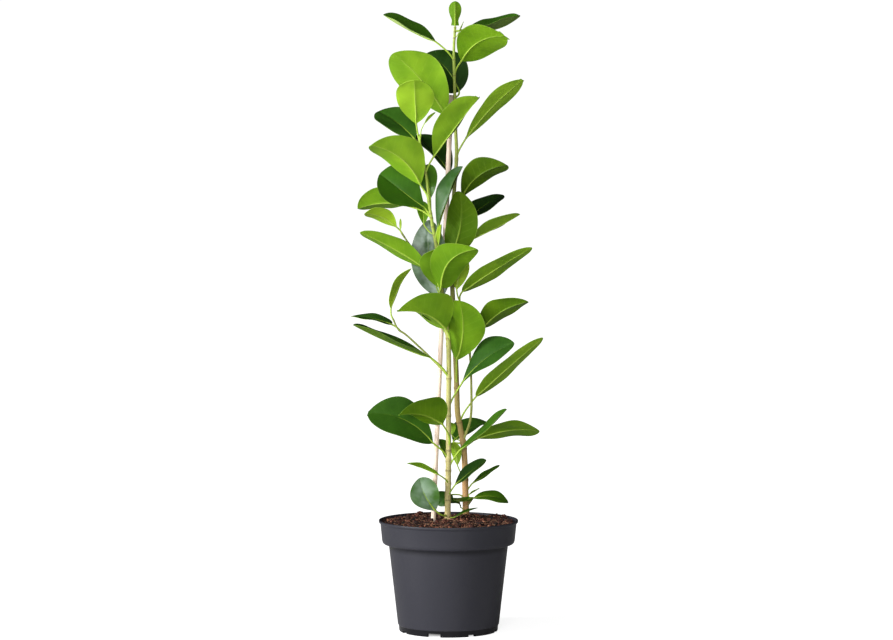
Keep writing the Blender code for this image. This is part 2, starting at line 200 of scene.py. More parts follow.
def smoothRows(rows, step):
    # points about a step apart through rows of (x, y, z, radius)
    rows = [Vector(row) for row in rows]
    path = []
    for index in range(len(rows) - 1):
        count = max(1, round((rows[index + 1].xyz - rows[index].xyz).length / step))
        path += [curvePoint(rows, index, k / count) for k in range(count)]
    return path + [rows[-1]]


def sweepTube(rows, sides, layers=None):
    # a closed round tube through rows of (x, y, z, radius); layers hold one value a row
    bm = bmesh.new()
    held = {name: bm.verts.layers.float.new(name) for name in layers or {}}
    last = len(rows) - 1
    side = (rows[1].xyz - rows[0].xyz).orthogonal().normalized()
    before = None
    for index, row in enumerate(rows):
        ahead = (rows[min(index + 1, last)].xyz - rows[max(index - 1, 0)].xyz).normalized()
        side = (side - ahead * side.dot(ahead)).normalized()
        turn = Matrix((side, ahead.cross(side), ahead)).transposed().to_4x4()
        place = Matrix.Translation(row.xyz * mm) @ turn @ Matrix.Scale(row.w * mm, 4)
        if before is None:
            verts = bmesh.ops.create_circle(bm, segments=sides, radius=1, matrix=place)["verts"]
            edges = list(bm.edges)
            bmesh.ops.contextual_create(bm, geom=edges)
        else:
            made = bmesh.ops.extrude_edge_only(bm, edges=edges)["geom"]
            verts = [item for item in made if isinstance(item, bmesh.types.BMVert)]
            edges = [item for item in made if isinstance(item, bmesh.types.BMEdge)
                     and item.verts[0] in verts and item.verts[1] in verts]
            bmesh.ops.transform(bm, matrix=place @ before.inverted(), verts=verts)
        for name, layer in held.items():
            for vert in verts:
                vert[layer] = layers[name][index]
        before = place
    bmesh.ops.contextual_create(bm, geom=edges)
    bmesh.ops.recalc_face_normals(bm, faces=bm.faces)
    return bm


# Leaves. A row is the stem or shoot, the height where the stalk leaves it, the blade's base and
# tip, its width, how far its upper face leans to the front, its bow, fold and sideways sweep, the
# share of its length where it is broadest, the widths of a broad foot and a blunt tip, how glossy its
# upper side is and how much painted sheen it carries, how pale its underside is, and its age: 0 is a
# new leaf and 1 the darkest one.

usualLeaf = {
    "width": 46,
    "turn": 0,
    "arch": 5,
    "fold": 15,
    "sweep": 0,
    "widest": 0.56,
    "foot": 0,
    "blunt": 1.2,
    "wax": 0,
    "pale": 0,
}


def leaf(stem, join, base, tip, **shape):
    return SimpleNamespace(stem=stem, join=join, base=Vector(base), tip=Vector(tip), **{**usualLeaf, **shape})


leftPlant = {
    "name": "left",
    "node": "left_plant",
    "slot": "left_plant_green",
    "lines": {
        "main": [
            (-1.4, 14.4, 85, 3.7), (-1.2, 14.2, 115, 3.8), (-1, 14, 140, 3.8), (0, 12, 207, 3.3),
            (0, 9, 263, 3.1), (0.5, 7, 314, 3.0), (0, 5, 347, 2.9), (-1.5, 4, 363, 2.6),
            (-8.5, 2, 413, 2.4), (-14.5, -1, 467, 2.1), (-19, -2, 492, 2.0), (-24, -4, 524, 1.8),
            (-26, -5, 546, 1.6), (-30, -6, 572, 1.5), (-34.5, -7, 593, 1.3), (-33.5, -7, 604, 1.1),
        ],
        "high": [
            (-10, 1, 424, 1.3), (-22, 1, 438, 1.2), (-36, -2, 456, 1.15), (-48, -7, 472, 1.1),
            (-57, -10, 485, 1.0),
        ],
        "low": [
            (-1, 6, 311, 1.5), (-14, 6, 325, 1.4), (-49, 10, 358, 1.2), (-61, 9, 367, 1.1),
            (-68, 5, 381, 1.0),
        ],
    },
    "leaves": [
        leaf("main", 592, (-39, -10, 617), (-41, -58, 667), width=46, fold=4, age=0.25),
        leaf("main", 603, (-29, -8, 617), (-16, -10, 630), width=7, fold=40, arch=0, age=0.1),
        leaf("main", 557, (-18, -8, 577), (36, -44, 647), width=58, turn=-4, fold=28, arch=1, widest=0.62,
             blunt=10, age=0.39),
        leaf("main", 586, (-41, -4, 598), (-86, 44, 633), width=44, turn=25, fold=12, arch=3, sweep=2,
             age=0.73),
        leaf("main", 523, (-34, -10, 543), (-92, -54, 590), width=58, turn=-33, fold=25, sweep=-9, age=0.33),
        leaf("main", 492, (-28, -2, 514), (-83, -4, 556), width=60, turn=60, sweep=-3, widest=0.68, age=0.6),
        leaf("main", 508, (-22, 6, 527), (-25, 22, 568), width=24, turn=20, age=0.56),
        leaf("main", 503, (-52, 6, 518), (-111, 24, 514), width=44, turn=-35, fold=20, arch=6, age=0.47),
        leaf("high", 483, (-63, -11, 492), (-100, -33, 509), width=28, turn=-30, age=0.19),
        leaf("high", 480, (-58, -10, 488), (-58, -12, 502), width=3, arch=0, fold=0, age=0.2),
        leaf("main", 482, (-30, 5, 495), (-34, 25, 523), width=16, age=0.35),
        leaf("main", 423, (-27, -6, 441), (-106, -36, 486), width=38, turn=-24, arch=3, widest=0.5, age=0.41),
        leaf("main", 400, (-10, 6, 407), (-24, 12, 500), width=46, turn=70, arch=2, fold=6, sweep=-6,
             widest=0.48, wax=0.85, age=0.8),
        leaf("main", 466, (-12, -8, 471), (-9, -12, 495), width=8, fold=35, arch=0, age=0.1),
        leaf("main", 474, (-13, -5, 490), (17, -9, 565), width=42, turn=30, fold=25, sweep=5, widest=0.62,
             wax=0.1, age=0.8),
        leaf("main", 411, (-9, -10, 419), (34, -52, 466), width=46, turn=-40, sweep=13, widest=0.42, blunt=3,
             age=0.55),
        leaf("main", 348, (-3, -4, 368), (-61, -40, 391), width=68, turn=-30, fold=33, sweep=-8, widest=0.33,
             age=0.45),
        leaf("main", 356, (-12, 8, 376), (-40, 10, 405), width=26, turn=65, age=0.9),
        leaf("low", 378, (-70, 3, 393), (-45, -18, 442), width=29, turn=15, sweep=-4, age=0.09),
        leaf("low", 366, (-69, 9, 373), (-119, 26, 382), width=30, turn=10, fold=8, arch=3, widest=0.42,
             age=0.75),
        leaf("main", 307, (-21, -4, 333), (-115, -22, 374), width=42, turn=6, fold=20, arch=-2, age=0.7),
        leaf("main", 262, (16, 8, 301), (80, 0, 351), width=48, turn=40, sweep=-4, widest=0.68, age=0.77),
        leaf("main", 208, (-19, 3, 229), (-98, -12, 266), width=54, turn=60, arch=4, fold=8, sweep=11,
             blunt=8, age=0.69),
        leaf("main", 219, (-7, -7, 252), (-59, -47, 267), width=54, turn=-35, fold=30, sweep=-4, widest=0.28,
             age=0.6),
        leaf("main", 194, (13, 6, 219), (70, -28, 272), width=36, turn=28, fold=12, arch=-2, age=0.6),
        leaf("main", 205, (-3, 20, 208), (-12, 32, 231), width=17, age=0.6),
        leaf("main", 158, (8, 8, 177), (46, 4, 208), width=26, turn=30, arch=1, age=0.93),
        leaf("main", 139, (-16, -2, 147), (-35, 4, 186), width=36, turn=65, fold=10, sweep=-4, wax=0.4,
             age=0.65),
        leaf("main", 178, (-12, -4, 191), (-50, -16, 206), width=24, turn=-12, fold=12, arch=1, age=0.5),
        leaf("main", 137, (7, 11, 137), (36, 25, 147), width=10, arch=1, age=0.6),
        leaf("main", 414, (-11, -4, 418), (4, -22, 468), width=44, turn=-15, fold=10, sweep=10, age=0.47),
    ],
}

rightPlant = {
    "name": "right",
    "node": "right_plant",
    "slot": "right_plant_green",
    "lines": {
        "main": [
            (22.6, 45.2, 85, 3.9), (22, 44.8, 115, 4.0), (21.5, 44.5, 140, 4.0), (20.5, 41.5, 180, 3.8),
            (19.2, 38.5, 217, 3.6), (15, 36, 242, 3.5), (11.3, 33.5, 262, 3.4), (10.3, 32, 287, 3.3),
            (9, 28, 325, 3.2), (5, 21, 411, 2.9), (3, 15, 481, 2.6), (9.5, 9, 570, 2.2),
            (8.6, 7, 612, 2.0), (7, 5, 676, 1.8), (6.5, 3, 706, 1.6), (8, 2, 734, 1.4),
        ],
        "side": [
            (17, 37, 226, 1.8), (27, 30, 256, 1.6), (28, 27, 294, 1.5), (26, 22, 338, 1.4),
            (20, 18, 373, 1.3), (13.5, 15, 402, 1.2),
        ],
        "foot": [(21.5, 44, 145, 1.6), (26, 40, 152, 1.4), (30, 35, 158, 1.2)],
    },
    "leaves": [
        leaf("main", 733, (8, 2, 735), (8, -6, 764), width=16, fold=18, arch=0, widest=0.66, foot=10,
             age=0.54),
        leaf("main", 720, (11, 1, 724), (18, 0, 740), width=6, fold=0, arch=0, age=0.1),
        leaf("main", 694, (-16, 0, 716), (-79, 12, 749), width=40, turn=15, fold=22, arch=-2, pale=0.8,
             age=0.6),
        leaf("main", 675, (16, 1, 693), (67, -48, 720), width=53, turn=-35, fold=5, sweep=8, widest=0.52,
             blunt=17, age=0.53),
        leaf("main", 728, (22, 4, 731), (87, 24, 748), width=44, turn=8, fold=32, arch=-8, pale=0.12,
             age=0.66),
        leaf("main", 648, (13, 14, 656), (-28, 58, 704), width=50, turn=45, fold=8, sweep=6, widest=0.42,
             age=0.94),
        leaf("main", 612, (-4, 2, 628), (-66, -34, 700), width=63, turn=-35, fold=9, sweep=-3, widest=0.58,
             age=0.35),
        leaf("main", 574, (21, 6, 599), (89, -19, 669), width=34, turn=-24, fold=5, widest=0.62, blunt=8,
             age=0.32),
        leaf("main", 551, (1, 28, 557), (-41, 70, 604), width=44, turn=8, fold=25, age=0.89),
        leaf("main", 441, (3, 9, 457), (13, -22, 535), width=42, turn=-35, sweep=-6, widest=0.45, age=0.71),
        leaf("main", 515, (16, 6, 527), (69, -34, 567), width=46, turn=-27, sweep=8, widest=0.65, age=0.81),
        leaf("main", 495, (20, 22, 499), (66, 62, 531), width=40, turn=8, fold=8, arch=2, age=0.94),
        leaf("main", 463, (22, 20, 474), (87, 14, 507), width=42, turn=-15, arch=-1, age=0.36),
        leaf("side", 402, (17, 14, 413), (101, -12, 467), width=36, turn=-25, fold=5, arch=2, widest=0.45,
             age=0.4),
        leaf("side", 402, (10, 9, 416), (15, 1, 460), width=24, turn=-40, age=0.08),
        leaf("main", 294, (10, 16, 329), (13, -18, 403), width=54, turn=-25, fold=20, sweep=-5, age=0.51),
        leaf("side", 338, (42, 16, 369), (96, -15, 402), width=42, turn=-26, sweep=3, widest=0.42, age=0.66),
        leaf("main", 251, (34, 27, 284), (115, 8, 357), width=36, turn=-24, fold=6, arch=1, widest=0.45,
             age=0.3),
        leaf("main", 219, (37, 33, 232), (111, 12, 243), width=48, turn=-28, arch=6, fold=3, age=0.47),
        leaf("main", 225, (6, 48, 227), (48, 80, 248), width=44, turn=8, age=0.7),
        leaf("main", 228, (4, 34, 236), (0, 28, 252), width=10, age=0.3),
        leaf("main", 180, (11, 30, 199), (5, 22, 228), width=14, turn=-20, age=0.2),
        leaf("main", 158, (29, 42, 175), (63, 52, 197), width=24, fold=5, arch=0, age=0.57),
        leaf("foot", 154, (25, 38, 162), (38, 34, 170), width=10, arch=0, age=0.1),
        leaf("foot", 158, (31, 34, 158), (74, 40, 152), width=26, turn=25, arch=6, fold=5, age=0.48),
        leaf("foot", 158, (29, 33, 159), (7, 10, 158), width=18, turn=10, arch=-3, age=0.55),
        leaf("main", 156, (4, 36, 162), (-12, 26, 149), width=24, turn=40, age=0.77),
        leaf("main", 141, (15, 39, 146), (3, 34, 152), width=12, turn=30, age=0.7),
    ],
}

blade = {
    "cellsAcross": 20,
    "cellsAlong": 34,
    "smallLeaf": 25,  # narrower leaves have half the cells
    "thickness": 0.5,
    "baseWidth": 3.4,
    "narrowLeaf": 30,
    "roundness": 0.62,
    "edgeWave": 0.06,
    "wavesAlong": 9,
    "wavesAcross": 2,
    "phaseStep": 1.7,
    "grooveDepth": 0.4,
    "grooveWidth": 1.6,
    "veinPairs": 9,
    "veinSlant": 1.5,
    "quilt": 0.16,  # how far the blade puffs up between its side veins
    "crinkle": 0.5,
    "crinkleSize": 17,
    "crinkleApart": 40,
    "reliefWidth": 15,  # a narrower half has less relief
    "crowding": 1.2,  # above 1 the cells crowd towards the midrib
    "upperFacing": 0.2,
}
stalk = {
    "radius": 1.1,
    "sides": 10,
    "step": 2.4,
    "footFlare": 1.25,
    "bendAt": 0.55,
    "bend": 0.16,
    "baseSunk": 0.2,
    "ribStops": [(0.12, 0.9), (0.3, 0.72), (0.5, 0.56), (0.7, 0.4), (0.85, 0.27), (0.96, 0.14)],
    "ribSunk": 0.15,
    "thinnest": 0.45,
    "perWidth": 60,
}


def bladeFrame(row):
    length = (row.tip - row.base).length
    along = (row.tip - row.base) / length
    upper = (Vector((0, 0, 1)) - along * along.z).normalized()
    across = along.cross(upper)
    front = across if across.y < 0 else -across
    turn = math.radians(row.turn)
    upper = (upper * math.cos(turn) + front * math.sin(turn)).normalized()
    return along, along.cross(upper), upper, length


def halfWidth(row, v):
    shifted = v ** (math.log(0.5) / math.log(row.widest))
    curve = (4 * shifted * (1 - shifted)) ** blade["roundness"] if 0 < v < 1 else 0.0
    foot = row.foot or blade["baseWidth"] * min(1.0, row.width / blade["narrowLeaf"])
    tip = row.blunt * min(1.0, row.width / blade["narrowLeaf"])
    return max(row.width * curve, foot * (1 - v) + tip * v) / 2


def bladePoint(row, axes, u, v, phase):
    # u runs -1 to 1 across and v 0 to 1 along
    along, right, upper, length = axes
    half = halfWidth(row, v)
    bow = 4 * v * (1 - v)
    fold = math.radians(row.fold)
    wave = blade["edgeWave"] * half * u * u
    wave *= math.sin(blade["wavesAlong"] * v + blade["wavesAcross"] * u + phase)
    sideways = u * half * math.cos(fold) + row.sweep * bow
    height = row.arch * bow + abs(u) * half * math.sin(fold) + wave
    share = min(1.0, half / blade["reliefWidth"])
    height -= blade["grooveDepth"] * share * math.exp(-(u * half / blade["grooveWidth"]) ** 2)
    cell = blade["veinPairs"] * v - blade["veinSlant"] * abs(u)
    height += blade["quilt"] * share * abs(math.sin(math.pi * cell)) * (1 - u * u)
    spot = Vector((u * half, v * length, blade["crinkleApart"] * phase)) / blade["crinkleSize"]
    height += blade["crinkle"] * share * noise.noise(spot)
    return row.base + along * (length * v) + right * sideways + upper * height


def makeBlade(row, phase):
    axes = bladeFrame(row)
    bm = bmesh.new()
    names = ("leafAge", "leafGlossAndPaintedSheen", "leafPale", "leafAlong", "leafSide", "leafSpot")
    layers = [bm.verts.layers.float.new(name) for name in names]
    small = 2 if row.width < blade["smallLeaf"] else 1
    bmesh.ops.create_grid(bm, x_segments=blade["cellsAcross"] // small,
                          y_segments=blade["cellsAlong"] // small, size=1)
    for vert in bm.verts:
        u = math.copysign(abs(vert.co.x) ** blade["crowding"], vert.co.x)
        v = (1 - math.cos(math.pi * (vert.co.y + 1) / 2)) / 2
        for layer, value in zip(layers, (row.age, row.wax, row.pale, v, u, halfWidth(row, v) * abs(u))):
            vert[layer] = value
        vert.co = bladePoint(row, axes, u, v, phase) * mm
    bm.normal_update()  # without this the thickness would follow the flat grid
    bmesh.ops.solidify(bm, geom=bm.faces, thickness=blade["thickness"] * mm)
    bmesh.ops.recalc_face_normals(bm, faces=bm.faces)
    bm.normal_update()
    for face in bm.faces:
        face.material_index = 0 if face.normal.dot(axes[2]) > blade["upperFacing"] else 1
    return bm


def stemPlace(line, height):
    for low, high in zip(line, line[1:]):
        if height <= high[2]:
            break
    t = (height - low[2]) / (high[2] - low[2])
    return Vector(low[:3]).lerp(Vector(high[:3]), max(0.0, min(1.0, t)))


def makeStalk(row, phase, start):
    # the leaf stalk, which runs on under the blade as its raised midrib
    axes = bladeFrame(row)
    along, upper, length = axes[0], axes[2], axes[3]
    radius = stalk["radius"] * min(1.0, stalk["thinnest"] + row.width / stalk["perWidth"])
    reach = (row.base - start).length
    middle = start.lerp(row.base, stalk["bendAt"]) - along * (stalk["bend"] * reach)
    base = row.base - upper * (stalk["baseSunk"] * radius)
    rows = [(*start, stalk["footFlare"] * radius), (*middle, radius), (*base, radius)]
    under = upper * (blade["thickness"] / 2 + stalk["ribSunk"] * radius)
    for v, share in stalk["ribStops"]:
        rows.append((*(bladePoint(row, axes, 0, v, phase) - under), share * radius))
    path = smoothRows(rows, stalk["step"])
    reached = [max(0.0, (spot.xyz - row.base).dot(along) / length) for spot in path]
    bm = sweepTube(path, stalk["sides"], {"leafAge": [row.age] * len(path), "leafAlong": reached})
    for face in bm.faces:
        face.material_index = 2
    return bm


# Leaf finishes. Both faces read the blade's own attributes, so veins follow each leaf.

leafLooks = {
    "patchScale": 30,
    "patchTint": (0.70, 0.78, 0.70),
    "ribColor": (0.48, 0.66, 0.12),
    "ribOldShare": 0.4,  # how much of the midrib's colour an old leaf keeps
    "marginColor": (0.45, 0.60, 0.12),
    "paintedSheenColor": (0.42, 0.53, 0.46),
    "paintedSheenScale": 42,
    "waxGloss": (0.17, 0.5),
    "paleColor": (0.62, 0.80, 0.26),
    "grainScale": 400,
    "grainHeight": 0.04,
    "reliefHeight": 0.0002,
}
upperSide = {
    "ages": [
        (0.0, (0.32, 0.52, 0.02)), (0.3, (0.16, 0.34, 0.012)), (0.6, (0.055, 0.16, 0.010)),
        (0.8, (0.030, 0.095, 0.012)), (1.0, (0.006, 0.020, 0.002)),
    ],
    "gloss": 0.3,
    "rough": (0.24, 0.4),
    "veinWidth": 0.06,
    "veinShare": 0.02,
    "veinHeight": -0.2,
    "ribWidth": 1.0,
    "ribShare": 0.07,
    "marginShare": 0.15,
}
underside = {
    "ages": [
        (0.0, (0.46, 0.66, 0.035)), (0.3, (0.26, 0.46, 0.022)), (0.5, (0.15, 0.30, 0.008)),
        (0.7, (0.09, 0.18, 0.003)), (1.0, (0.035, 0.08, 0.002)),
    ],
    "gloss": 0.12,
    "rough": (0.5, 0.65),
    "veinWidth": 0.09,
    "veinShare": 0.06,
    "veinHeight": 0.2,
    "ribWidth": 1.5,
    "ribShare": 0.45,
    "marginShare": 0.25,
}
stalkLooks = {
    "ages": [(0.0, (0.46, 0.66, 0.10)), (0.5, (0.36, 0.54, 0.05)), (1.0, (0.26, 0.42, 0.03))],
    "streakColor": (0.42, 0.56, 0.07),
    "streakScale": 300,
    "rough": 0.45,
    "gloss": 0.25,
}


def veinMask(tree, width):
    # thin slanted lines each side of the midrib, fading towards the margin
    side = calc(tree, "ABSOLUTE", attribute(tree, "leafSide"))
    pairs = product(tree, attribute(tree, "leafAlong"), blade["veinPairs"])
    cell = calc(tree, "ADD", pairs, product(tree, side, -blade["veinSlant"]))
    line = smoothMask(tree, calc(tree, "PINGPONG", cell, 0.5), width, 0.0)
    return product(tree, line, smoothMask(tree, side, 0.95, 0.5))


def paintedSheen(tree, shader, color):
    # a painted sheen: a pale grey-green in broad soft patches, strongest near the midrib, standing in for a
    # reflection of light; the same amount also raises the real gloss
    wax = attribute(tree, "leafGlossAndPaintedSheen")
    cloud = smoothMask(tree, noiseAt(tree, leafLooks["paintedSheenScale"], 3, 0.6), 0.34, 0.6)
    nearRib = spread(tree, attribute(tree, "leafSpot"), 1.1, 0.3, 0.0, 15.0)
    tree.links.new(spread(tree, wax, *leafLooks["waxGloss"]), shader.inputs["Specular IOR Level"])
    return mixColor(tree, product(tree, product(tree, cloud, nearRib), wax), color, leafLooks["paintedSheenColor"])


def makeLeafMaterial(name, looks):
    made, tree, shader = newMaterial(name, Specular_IOR_Level=looks["gloss"])
    age = attribute(tree, "leafAge")
    color = ramp(tree, age, looks["ages"])
    patches = smoothMask(tree, noiseAt(tree, leafLooks["patchScale"], 3), 0.35, 0.65)
    shaded = mixColor(tree, 1.0, color, leafLooks["patchTint"], "MULTIPLY")
    color = mixColor(tree, patches, shaded, color)
    if looks is upperSide:
        # painted sheen on the upper side, mixed into its base colour
        color = paintedSheen(tree, shader, color)
    else:
        color = mixColor(tree, attribute(tree, "leafPale"), color, leafLooks["paleColor"])
    veins = veinMask(tree, looks["veinWidth"])
    color = mixColor(tree, product(tree, veins, looks["veinShare"]), color, leafLooks["ribColor"])
    rib = smoothMask(tree, attribute(tree, "leafSpot"), looks["ribWidth"], 0.3)
    rib = product(tree, rib, spread(tree, age, 1.0, leafLooks["ribOldShare"], 0.4, 0.7))
    ribFade = spread(tree, attribute(tree, "leafAlong"), looks["ribShare"], 0.03, 0.2, 0.9)
    color = mixColor(tree, product(tree, rib, ribFade), color, leafLooks["ribColor"])
    margin = smoothMask(tree, calc(tree, "ABSOLUTE", attribute(tree, "leafSide")), 0.955, 0.995)
    color = mixColor(tree, product(tree, margin, looks["marginShare"]), color, leafLooks["marginColor"])
    tree.links.new(color, shader.inputs["Base Color"])
    grain = product(tree, noiseAt(tree, leafLooks["grainScale"], 2), leafLooks["grainHeight"])
    relief = calc(tree, "ADD", grain, product(tree, veins, looks["veinHeight"]))
    bump(tree, shader, relief, leafLooks["reliefHeight"])
    tree.links.new(spread(tree, noiseAt(tree, 90, 2), *looks["rough"]), shader.inputs["Roughness"])
    return made


def makeStalkMaterial():
    # bright green at the stem; along the blade it takes on the underside's colour, most on an old leaf
    made, tree, shader = newMaterial("leafStalk", Roughness=stalkLooks["rough"],
                                     Specular_IOR_Level=stalkLooks["gloss"])
    age = attribute(tree, "leafAge")
    streaks = smoothMask(tree, noiseAt(tree, stalkLooks["streakScale"], 3), 0.35, 0.75)
    color = mixColor(tree, streaks, ramp(tree, age, stalkLooks["ages"]), stalkLooks["streakColor"])
    fade = spread(tree, attribute(tree, "leafAlong"), 0.0, 1.0, 0.05, 0.6)
    fade = product(tree, fade, spread(tree, age, 0.15, 0.95, 0.4, 0.72))
    color = mixColor(tree, fade, color, ramp(tree, age, underside["ages"]))
    tree.links.new(color, shader.inputs["Base Color"])
    bump(tree, shader, noiseAt(tree, 1200, 2), 0.0001)
    return made


leafMaterials = [
    makeLeafMaterial("leafUpperSide", upperSide),
    makeLeafMaterial("leafUnderside", underside),
    makeStalkMaterial(),
]


def makeLeaves(plant):
    bm = bmesh.new()
    for index, row in enumerate(plant["leaves"]):
        phase = blade["phaseStep"] * index
        mergeInto(bm, makeBlade(row, phase))
        mergeInto(bm, makeStalk(row, phase, stemPlace(plant["lines"][row.stem], row.join)))
    return finishPiece(plant["name"] + "_leaves", bm, leafMaterials)


# Stems, with a ring scar and a slight swelling where each leaf joins

stem = {
    "sides": 18,
    "shootSides": 12,
    "step": 1.6,
    "nodeSwell": 0.16,
    "nodeReach": 2.2,
    "scarReach": 0.7,
    "barkRelief": 0.1,
    "barkWave": 4,
    "noJoin": 100,  # how far off a join counts on a shoot without any
    "shootColor": (0.30, 0.40, 0.07),
    "shootShare": 0.75,
    "dotColor": (0.5, 0.4, 0.26),
    "dotScale": 420,
    "scarColor": (0.12, 0.07, 0.03),
    "barkFade": 90,
    "relief": 0.0005,
}
leftBark = {
    "name": "leftStemSkin",
    "heights": [
        (130, (0.58, 0.38, 0.17)), (165, (0.62, 0.52, 0.22)), (260, (0.56, 0.52, 0.20)),
        (380, (0.42, 0.44, 0.11)), (500, (0.34, 0.44, 0.06)), (620, (0.38, 0.56, 0.05)),
    ],
    "streakColor": (0.40, 0.34, 0.11),
    "barkTop": 260,
}
rightBark = {
    "name": "rightStemSkin",
    "heights": [
        (130, (0.58, 0.31, 0.13)), (200, (0.62, 0.36, 0.14)), (280, (0.45, 0.34, 0.10)),
        (400, (0.28, 0.29, 0.06)), (560, (0.32, 0.38, 0.07)), (750, (0.36, 0.50, 0.06)),
    ],
    "streakColor": (0.34, 0.22, 0.09),
    "barkTop": 420,
}


def makeStemMaterial(skin):
    # heights are (mm, colour) up the stem; barkTop is where bark gives way to green skin
    made, tree, shader = newMaterial(skin["name"], Roughness=0.6)
    height = objectHeight(tree)
    low, high = skin["heights"][0][0], skin["heights"][-1][0]
    wobble = product(tree, noiseAt(tree, 35, 3), 0.05)
    share = spread(tree, calc(tree, "ADD", height, wobble), 0.0, 1.0, low * mm, high * mm)
    color = ramp(tree, share, [((z - low) / (high - low), tone) for z, tone in skin["heights"]])
    shoot = product(tree, attribute(tree, "stemGreen"), stem["shootShare"])
    color = mixColor(tree, shoot, color, stem["shootColor"])
    streaks = noiseAt(tree, 260, 4, 0.6, (1, 1, 0.16))
    streaked = product(tree, smoothMask(tree, streaks, 0.42, 0.7), 0.45)
    color = mixColor(tree, streaked, color, skin["streakColor"])
    bark = smoothMask(tree, height, skin["barkTop"] * mm, (skin["barkTop"] - stem["barkFade"]) * mm)
    specks = addNode(tree, "ShaderNodeTexVoronoi", {"Scale": stem["dotScale"]}).outputs["Distance"]
    dots = product(tree, smoothMask(tree, specks, 0.28, 0.12), calc(tree, "ADD", bark, 0.25, True))
    color = mixColor(tree, product(tree, dots, 0.4), color, stem["dotColor"])
    color = mixColor(tree, product(tree, attribute(tree, "stemScar"), 0.6), color, stem["scarColor"])
    tree.links.new(color, shader.inputs["Base Color"])
    relief = calc(tree, "ADD", product(tree, streaks, bark), product(tree, streaks, 0.3))
    relief = calc(tree, "ADD", relief, product(tree, dots, 0.5))
    bump(tree, shader, relief, stem["relief"])
    return made


def makeStem(plant, material):
    bm = bmesh.new()
    for key, line in plant["lines"].items():
        joins = [row.join for row in plant["leaves"] if row.stem == key]
        path = smoothRows(line, stem["step"])
        scars = []
        for row in path:
            away = min((abs(row.z - join) for join in joins), default=stem["noJoin"])
            row.w *= 1 + stem["nodeSwell"] * math.exp(-(away / stem["nodeReach"]) ** 2)
            row.w += stem["barkRelief"] * noise.noise(Vector((0, line[0][0], row.z / stem["barkWave"])))
            scars.append(math.exp(-(away / stem["scarReach"]) ** 2))
        sides = stem["sides"] if key == "main" else stem["shootSides"]
        green = [0.0 if key == "main" else 1.0] * len(path)
        mergeInto(bm, sweepTube(path, sides, {"stemScar": scars, "stemGreen": green}))
    return finishPiece(plant["name"] + "_stem", bm, [material], [plant["node"]])


for plant, skin in ((leftPlant, leftBark), (rightPlant, rightBark)):
    makeStem(plant, makeStemMaterial(skin))
    makeLeaves(plant)


# Support stick

stick = {
    "foot": (-22.7, 9.3, 35),
    "head": (3.4, 20, 652),
    "radius": 3.0,
    "sides": 24,
    "step": 6,
    "waver": 0.05,
    "waverRows": 4,
    "endRows": 0.4,  # how far the first and last full rings stand in from the ends
    "edge": 0.3,
    "edgeRadius": 0.93,
    "footRadius": 0.6,
    "headRadius": 0.75,
    "grain": [(0.25, (0.72, 0.50, 0.37)), (0.5, (0.92, 0.73, 0.59)), (0.8, (0.96, 0.83, 0.71))],
}


def makeStickMaterial():
    made, tree, shader = newMaterial("paleWood", Roughness=0.62)
    grain = noiseAt(tree, 900, 4, 0.6, (1, 1, 0.03))
    tree.links.new(ramp(tree, grain, stick["grain"]), shader.inputs["Base Color"])
    bump(tree, shader, grain, 0.0004)
    return made


def makeStick():
    foot, head = Vector(stick["foot"]), Vector(stick["head"])
    radius = stick["radius"]
    lean = (head - foot).normalized()
    count = round((head - foot).length / stick["step"])
    rows = [Vector((*foot, radius * stick["footRadius"]))]
    for k in range(count + 1):
        place = foot.lerp(head, (k + stick["endRows"]) / (count + 2 * stick["endRows"]))
        share = 1 + stick["waver"] * noise.noise(Vector((0, 0, k / stick["waverRows"])))
        rows.append(Vector((*place, radius * min(1.0, share))))
    rows.append(Vector((*(head - lean * stick["edge"]), radius * stick["edgeRadius"])))
    rows.append(Vector((*head, radius * stick["headRadius"])))
    return finishPiece("stick", sweepTube(rows, stick["sides"]), [makeStickMaterial()],
                       ["support_stick"])


makeStick()


# Pot: the profile is (radius, height) up the inside, down the outside and in along the underside

pot = {
    "steps": 192,
    "inside": [
        (0.01, 6.5), (54, 6.5), (58.6, 8.8), (70.9, 103.6), (78.6, 109.4), (81.4, 131.4), (82.8, 135.2),
    ],
    "outside": [
        (84.7, 135.4), (85, 134), (84.6, 132.2), (83, 131.5), (80.9, 110.6), (80.2, 108), (78.6, 106.6),
        (73.2, 105.6), (72.4, 102.4), (61.7, 8.2), (60.6, 7.4), (60.2, 0.8), (59.6, 0),
    ],
    "underside": [(55.6, 0), (55.2, 4.4), (54.6, 4.8), (16.2, 4.8), (15.6, 4.4), (15, 0), (0.01, 0)],
    "notches": [-107, -62, -17, 28, 73, 118, 163, 208],
    "notchSize": (9, 16, 5),
    "wideNotch": -17,
    "wideNotchSize": (16, 16, 9),
    "notchRadius": 58,
    "drainRadius": 42,
    "drainHole": 4,
    "drainHeight": 6,
    "drainDepth": 10,
    "drainSides": 32,
    "footHeight": 7.8,
    "footRadius": 54,
    "bevel": 0.5,
    "bevelSteps": 3,
    "weld": 0.02,
    "color": (0.032, 0.032, 0.041),
    "dust": (0.048, 0.047, 0.052),
    "footColor": (0.006, 0.006, 0.008),
    "shelfShade": (97, 104.5, 106.2),  # heights of a painted shade that darkens the wall up towards the band's underside
    "shelfShare": 0.7,
    "dustShare": 0.3,
    "gloss": 0.22,
    "roughness": 0.42,
    "footRoughness": 0.3,
    "roughSpread": (-0.08, 0.1),
}


